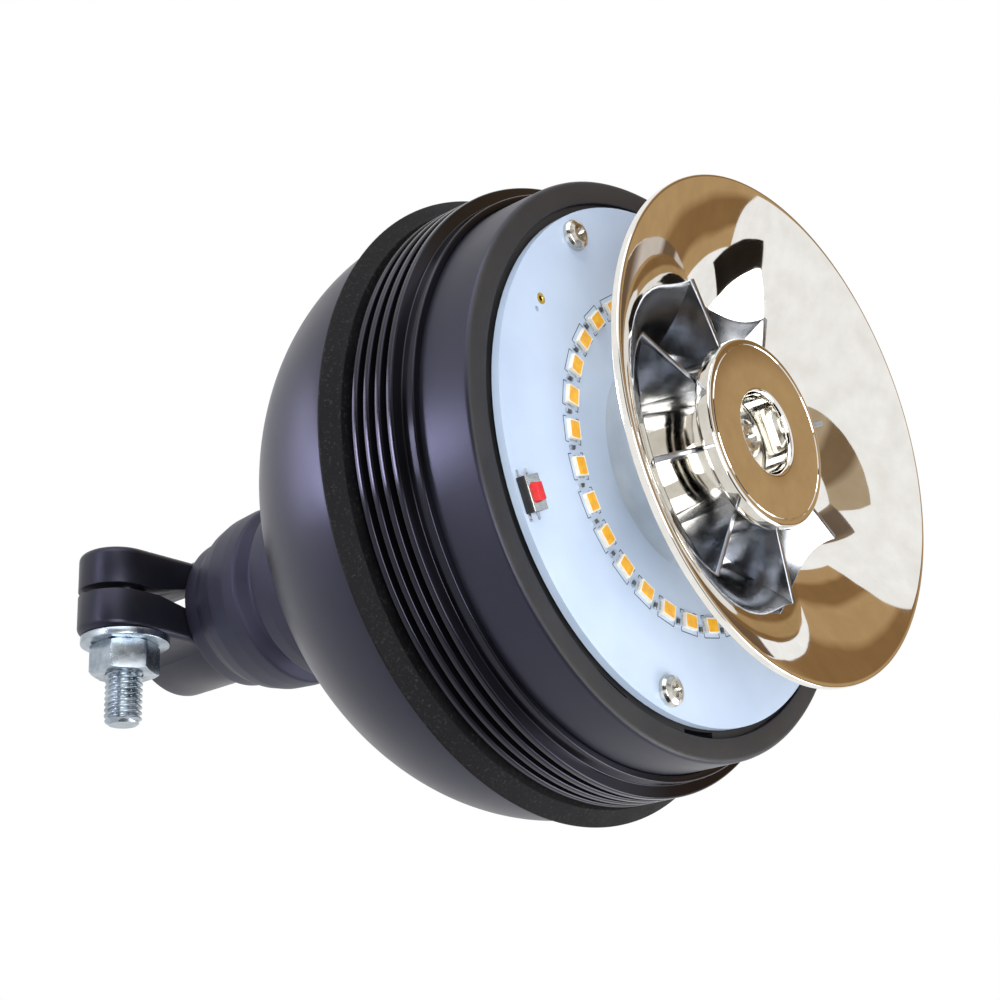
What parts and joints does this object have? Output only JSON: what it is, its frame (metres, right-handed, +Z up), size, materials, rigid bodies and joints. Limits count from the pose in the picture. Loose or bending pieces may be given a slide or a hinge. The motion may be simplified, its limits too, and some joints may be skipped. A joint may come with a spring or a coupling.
{
  "type": "rotating beacon",
  "caption": "Pole-mounted warning beacon without its lens: black bowl housing, ribbed lens collar, round LED board under a flared mirror, flexible rubber neck and a bolted pole clamp.",
  "frame": {"origin": "centre of the pole socket's mouth, at the bottom of the clamp", "axes": "+Z up along the beacon's axis, out of the pole; -Y from the axis towards the clamp's ears and bolt; +X along the clamp bolt towards its nut"},
  "size_m": [0.1244, 0.1244, 0.1663],
  "materials": {
    "clamp_plastic": "black glass-filled nylon, satin",
    "zinc": "bright zinc-plated steel",
    "insulator": "natural nylon",
    "brass": "plain brass",
    "spring_steel": "drawn spring wire",
    "neck_rubber": "matte black moulded rubber",
    "black_abs": "black ABS with a fine grain, satin",
    "band_rubber": "matte black sealing rubber, slightly dusty",
    "gloss_black": "polished black plastic",
    "white_mask": "white solder mask",
    "led_body": "white LED body",
    "led_phosphor": "yellow phosphor under clear gel",
    "switch_black": "black switch base",
    "switch_metal": "pressed steel cover",
    "button_red": "red plastic",
    "chromed_plastic": "vacuum-metallised mirror",
    "can_sleeve": "dark sleeve on an aluminium can",
    "ferrite": "ferrite core with its winding"
  },
  "bodies": {
    "clamp": {"pole_clamp": "clamp_plastic", "clamp_bolt": "zinc", "contact_carrier": "insulator", "contact_spring": "spring_steel", "earth_ring": "brass"},
    "clamp_washer": {"clamp_washer": "zinc"},
    "clamp_nut": {"clamp_nut": "zinc"},
    "centre_contact": {"centre_contact": "brass"},
    "neck": {"flexible_neck": "neck_rubber"},
    "head": {"neck_stub": "zinc", "neck_washer": "zinc", "neck_nut": "zinc", "lower_shell": "black_abs", "sealing_band": "band_rubber", "ribbed_collar": "gloss_black", "lamp_housing": "black_abs", "housing_screws": "zinc", "led_board": "white_mask", "led_packages": "led_body", "led_phosphors": "led_phosphor", "board_screws": "zinc", "switch_body": "switch_black", "switch_cover": "switch_metal", "reflector": "chromed_plastic", "reflector_washer": "zinc", "reflector_screw": "zinc", "reflector_nut": "zinc", "driver_capacitor": "can_sleeve", "driver_coil": "ferrite"},
    "mode_button": {"mode_button": "button_red"}
  },
  "joints": [
    {"name": "neck_pitch", "type": "hinge", "parent": "clamp", "child": "neck", "pos_m": [0, 0, 0.0425], "axis": [1, 0, 0], "range_deg": [-20, 20], "stiffness_Nm_per_rad": 6},
    {"name": "neck_roll", "type": "hinge", "parent": "neck", "child": "head", "pos_m": [0, 0, 0.0465], "axis": [0, 1, 0], "range_deg": [-20, 20], "stiffness_Nm_per_rad": 6, "deforming": ["flexible_neck"]},
    {"name": "mode_button_press", "type": "slide", "parent": "head", "child": "mode_button", "axis": [0, 0, -1], "range_m": [0, 0.00025], "stiffness_N_per_m": 6000},
    {"name": "centre_contact_slide", "type": "slide", "parent": "clamp", "child": "centre_contact", "axis": [0, 0, 1], "range_m": [0, 0.0025], "stiffness_N_per_m": 1200, "deforming": ["contact_spring"]},
    {"name": "clamp_washer_slide", "type": "slide", "parent": "clamp", "child": "clamp_washer", "axis": [1, 0, 0], "range_m": [0, 0.01]},
    {"name": "clamp_nut_turn", "type": "hinge", "parent": "clamp_washer", "child": "clamp_nut", "pos_m": [0, -0.0256, 0.01325], "axis": [1, 0, 0], "range_deg": [0, 2900]}
  ],
  "couplings": [
    {"joint": "clamp_nut_turn", "follows": "clamp_washer_slide", "rad_per_m": 5026.5}
  ]
}
